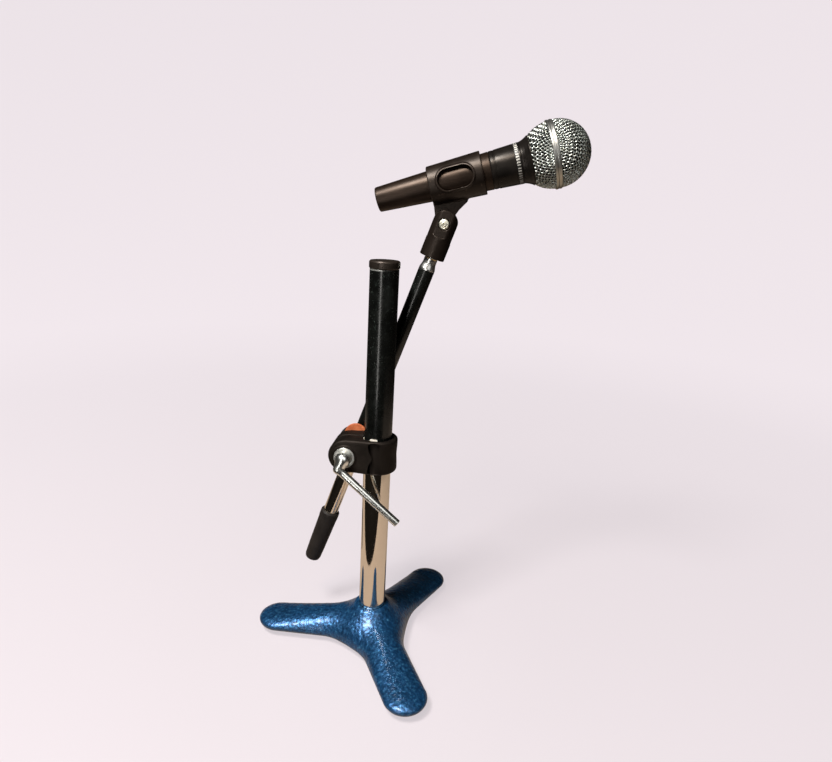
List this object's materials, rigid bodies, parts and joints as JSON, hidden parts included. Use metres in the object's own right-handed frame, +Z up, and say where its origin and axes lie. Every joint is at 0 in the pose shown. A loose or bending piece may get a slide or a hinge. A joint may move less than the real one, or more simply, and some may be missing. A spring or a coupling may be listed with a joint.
{
  "type": "desktop microphone",
  "caption": "Handheld-style dynamic microphone in a tilting clip on an adjustable boom, clamped to a short tubular column on a cast tripod foot.",
  "frame": {"origin": "on the column axis, at the table surface", "axes": "+Z up along the column, +X the way the microphone points at rest, +Y behind the column where the boom lies"},
  "size_m": [0.241, 0.1877, 0.43],
  "materials": {
    "hammer_paint": "blue hammer finish enamel",
    "felt": "felt",
    "steel": "zinc plated",
    "chrome": "polished",
    "gloss_black": "gloss enamel",
    "black_plastic": "moulded",
    "nylon": "natural nylon",
    "clamp_black": "satin moulded",
    "lever_nickel": "polished nickel",
    "fibre": "vulcanised fibre",
    "rubber": "matt rubber",
    "clip_plastic": "satin moulded",
    "brass": "turned",
    "mic_paint": "satin gunmetal enamel",
    "pin_silver": "silver plated",
    "collar_black": "semi gloss black",
    "pale_ring": "printed band",
    "grille_wire": "woven wire",
    "band_steel": "satin nickel",
    "foam": "open cell foam",
    "capsule_metal": "satin",
    "wire_insulation": "insulated wire"
  },
  "bodies": {
    "stand": {"base_casting": "hammer_paint", "base_felt_pad": "felt", "column_foot_plug": "steel", "base_washer": "steel", "base_nut": "steel", "column_lower_tube": "chrome", "column_upper_tube": "gloss_black", "column_spigot": "steel", "column_cap": "black_plastic"},
    "liner": {"column_liner": "nylon"},
    "clamp": {"clamp_body": "clamp_black"},
    "lever": {"clamp_lever": "lever_nickel", "lever_washer": "steel"},
    "boom_holder": {"eye_bolt": "steel", "friction_washer": "fibre", "boom_saddle": "black_plastic"},
    "boom": {"boom_lower_tube": "chrome", "boom_upper_tube": "gloss_black", "boom_joiner": "steel", "boom_ferrule": "chrome", "boom_grip": "rubber"},
    "clip_foot": {"clip_base": "clip_plastic", "thread_insert": "brass", "pivot_screw": "steel", "pivot_nut": "steel"},
    "clip": {"clip_barrel": "clip_plastic"},
    "microphone": {"mic_handle": "mic_paint", "connector_insert": "black_plastic", "contact_pins": "pin_silver", "insert_set_screw": "steel", "head_collar": "collar_black", "marking_ring": "pale_ring", "capsule": "capsule_metal", "shock_mount": "rubber", "transformer_can": "steel", "capsule_wires": "wire_insulation", "connector_wires": "wire_insulation"},
    "foam": {"foam_liner": "foam"},
    "grille": {"grille_ferrule": "collar_black", "grille_lower": "grille_wire", "grille_upper": "grille_wire", "grille_band": "band_steel"}
  },
  "joints": [
    {"name": "height_slide", "type": "slide", "parent": "stand", "child": "liner", "axis": [0, 0, 1], "range_m": [-0.025, 0.12]},
    {"name": "column_swivel", "type": "hinge", "parent": "liner", "child": "clamp", "pos_m": [0, 0, 0.172], "axis": [0, 0, 1], "continuous": true},
    {"name": "lever_turn", "type": "hinge", "parent": "clamp", "child": "lever", "pos_m": [-0.0242, 0, 0.172], "axis": [0, -1, 0], "range_deg": [0, 170]},
    {"name": "boom_tilt", "type": "hinge", "parent": "clamp", "child": "boom_holder", "pos_m": [-0.0242, 0, 0.172], "axis": [0, 1, 0], "range_deg": [-60, 65]},
    {"name": "boom_slide", "type": "slide", "parent": "boom_holder", "child": "boom", "axis": [0.3209, 0, 0.9471], "range_m": [-0.02, 0.045]},
    {"name": "clip_turn", "type": "hinge", "parent": "boom", "child": "clip_foot", "pos_m": [0.04036, 0.027, 0.35253], "axis": [0.3209, 0, 0.9471], "continuous": true},
    {"name": "clip_tilt", "type": "hinge", "parent": "clip_foot", "child": "clip", "pos_m": [0.04036, 0.027, 0.35253], "axis": [0, 1, 0], "range_deg": [-50, 112]},
    {"name": "mic_slide", "type": "slide", "parent": "clip", "child": "microphone", "axis": [0.9586, 0, 0.2847], "range_m": [0, 0.085]},
    {"name": "head_lift", "type": "slide", "parent": "microphone", "child": "foam", "axis": [0.9586, 0, 0.2847], "range_m": [0, 0.0041]},
    {"name": "head_unscrew", "type": "hinge", "parent": "foam", "child": "grille", "pos_m": [0.1183, 0.027, 0.4062], "axis": [0.9586, 0, 0.2847], "range_deg": [0, 1440]}
  ],
  "couplings": [
    {"joint": "head_lift", "follows": "head_unscrew", "m_per_rad": 0.00015915}
  ]
}
